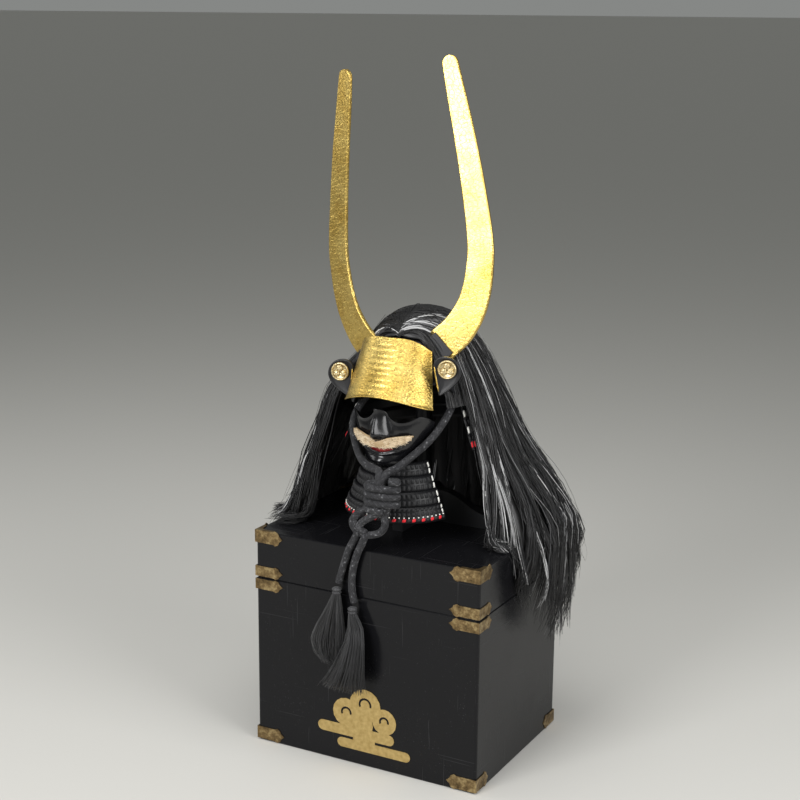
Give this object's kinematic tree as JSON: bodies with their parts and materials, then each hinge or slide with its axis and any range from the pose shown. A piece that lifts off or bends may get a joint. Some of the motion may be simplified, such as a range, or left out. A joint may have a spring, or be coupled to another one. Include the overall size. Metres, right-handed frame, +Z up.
{
  "type": "samurai helmet with hair, horns and face guard on its storage chest",
  "caption": "Japanese warrior's helmet with tall gilt horns, brow plate, black face guard, long hair and tasselled chin cord, on a stand over its lacquered chest",
  "frame": {"origin": "centre of the chest's underside, at the level of the floor; the helmet faces -Y", "axes": "+Z up, -Y the front, +X the viewer's right when facing the front"},
  "size_m": [0.5259, 0.4664, 1.2238],
  "materials": {
    "black_lacquer": "glossy black lacquer",
    "stand_wood": "black stained wood, satin",
    "laced_plate": "black lacquered lames closely laced with black cord, red and white at the hem",
    "gold_leaf": "gold leaf over lacquer, glossy",
    "satin_black": "black lacquer, satin",
    "pale_gold": "pale gilt metal",
    "aged_brass": "aged chased brass with bright worn edges",
    "gold_paint": "flat gold lacquer",
    "mask_lacquer": "glossy black lacquer",
    "bristle": "pale bristle",
    "braid": "charcoal braided cord with paler flecks",
    "tassel_thread": "black silk threads",
    "hair": "dark grey-black hair with white streaks"
  },
  "bodies": {
    "root": {"helmet_bowl": "black_lacquer", "chest_body": "black_lacquer", "chest_lid": "black_lacquer", "stand_head": "stand_wood", "stand_foot": "stand_wood", "stand_post": "stand_wood", "mask_bracket": "stand_wood", "neck_guard_lame_1": "laced_plate", "neck_guard_lame_2": "laced_plate", "neck_guard_lame_3": "laced_plate", "neck_guard_lame_4": "laced_plate", "throat_guard_lame_1": "laced_plate", "throat_guard_lame_2": "laced_plate", "throat_guard_lame_3": "laced_plate", "throat_guard_lame_4": "laced_plate", "brow_plate": "gold_leaf", "horn_right": "gold_leaf", "horn_left": "gold_leaf", "turnback_right": "satin_black", "turnback_left": "satin_black", "horn_socket_right": "satin_black", "horn_socket_left": "satin_black", "medallion_right": "pale_gold", "medallion_left": "pale_gold", "lid_corner_front_right": "aged_brass", "lid_corner_front_left": "aged_brass", "lid_corner_back_right": "aged_brass", "lid_corner_back_left": "aged_brass", "lid_rim_front_right": "aged_brass", "lid_rim_front_left": "aged_brass", "lid_rim_back_right": "aged_brass", "lid_rim_back_left": "aged_brass", "body_rim_front_right": "aged_brass", "body_rim_front_left": "aged_brass", "body_rim_back_right": "aged_brass", "body_rim_back_left": "aged_brass", "body_foot_front_right": "aged_brass", "body_foot_front_left": "aged_brass", "body_foot_back_right": "aged_brass", "body_foot_back_left": "aged_brass", "chest_ornament": "gold_paint", "face_mask": "mask_lacquer", "moustache": "bristle", "chin_cord_right": "braid", "chin_cord_left": "braid", "cord_end_left": "braid", "cord_end_right": "braid", "chin_knot": "braid", "tassel_left": "tassel_thread", "tassel_right": "tassel_thread", "hair": "hair"}
  },
  "joints": []
}
